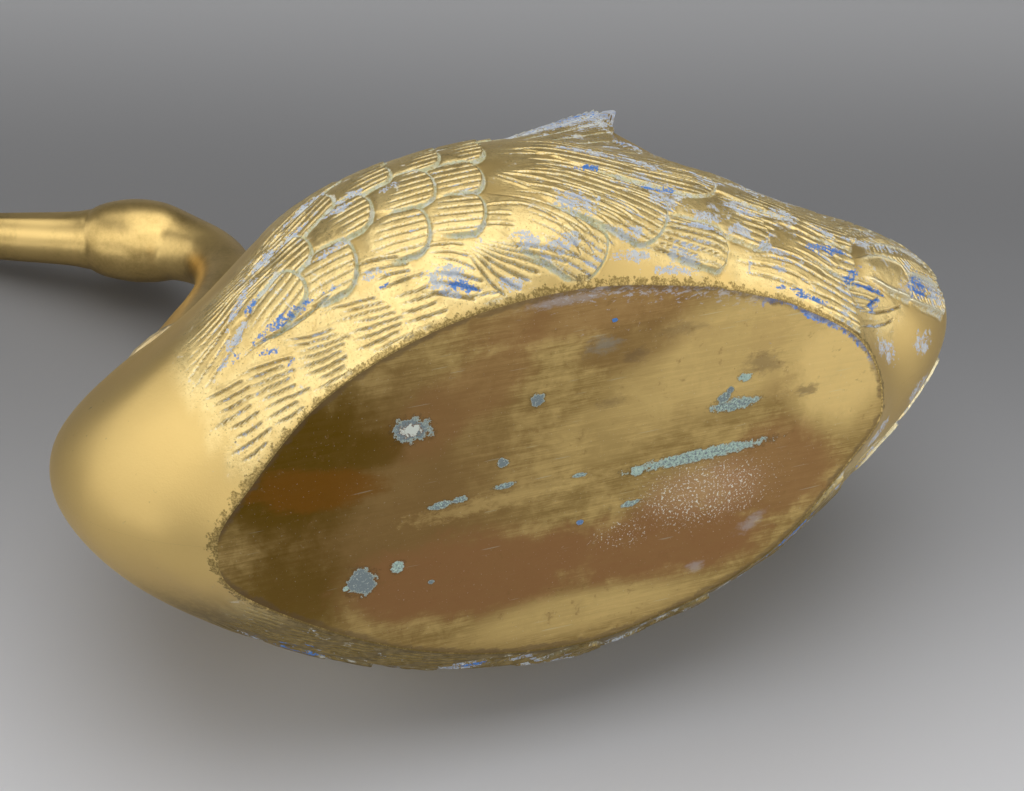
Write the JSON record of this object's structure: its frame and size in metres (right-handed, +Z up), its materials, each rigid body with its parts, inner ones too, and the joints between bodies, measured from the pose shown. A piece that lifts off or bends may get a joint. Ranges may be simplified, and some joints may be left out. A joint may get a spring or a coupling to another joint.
{
  "type": "swan planter",
  "caption": "Swan-shaped brass planter: hollow feathered body open between raised wings, S-shaped neck, flat ground base.",
  "frame": {"origin": "middle of the whole swan's box, on the plane the flat base stands on", "axes": "+Z up from the base, +Y from the breast towards the tail, +X towards the swan's own left wing"},
  "size_m": [0.1916, 0.365, 0.2676],
  "materials": {
    "feathered_brass": "cast and chased feathers, aged, with blue-green residue in the grooves",
    "polished_brass": "smooth satin",
    "ground_brass": "ground flat, brushed, browned with spots of verdigris",
    "solder": "dull braze"
  },
  "bodies": {
    "root": {"body_left_half": "feathered_brass", "body_right_half": "feathered_brass", "base_plate": "ground_brass", "base_solder_seam": "solder", "breast_braze_seam": "solder", "tail_braze_seam": "solder", "neck": "polished_brass", "neck_braze_ring": "solder", "head": "polished_brass"}
  },
  "joints": []
}
